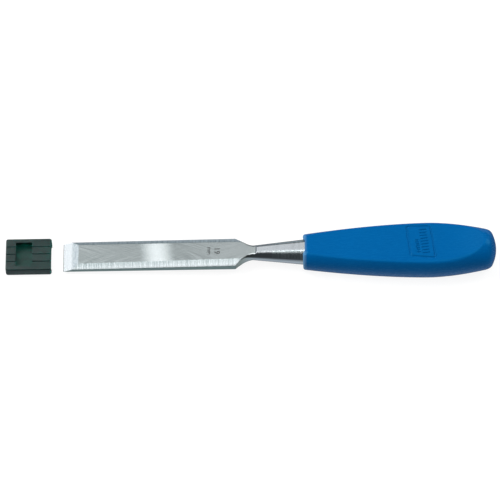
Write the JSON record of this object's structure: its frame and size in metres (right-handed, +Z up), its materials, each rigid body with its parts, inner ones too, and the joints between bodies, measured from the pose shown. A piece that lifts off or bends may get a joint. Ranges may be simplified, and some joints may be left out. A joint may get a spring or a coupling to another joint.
{
  "type": "bench chisel",
  "caption": "Bevel-edge bench chisel: steel blade with bolster, moulded grip handle with two flats, and a slip-on blade guard that slides over the cutting edge.",
  "frame": {"origin": "on the bench, under the middle of the bounding box of the chisel and its guard", "axes": "+X from the cutting edge towards the handle, +Y across the blade, +Z up off the bench, out of the bevelled side; the tool's own axis is in the XZ plane and rises 1.7 degrees towards +X, because it lies on the guard's closed end and the butt of the handle"},
  "size_m": [0.2904, 0.0324, 0.0244],
  "materials": {
    "steel": "ground and polished",
    "handle_plastic": "smooth moulded, satin gloss",
    "guard_plastic": "moulded, slightly waxy"
  },
  "bodies": {
    "chisel": {"blade": "steel", "handle": "handle_plastic"},
    "guard": {"blade_guard": "guard_plastic"}
  },
  "joints": [
    {"name": "guard_slide", "type": "slide", "parent": "chisel", "child": "guard", "axis": [0.9996, 0, 0.0296], "range_m": [0, 0.031]}
  ]
}
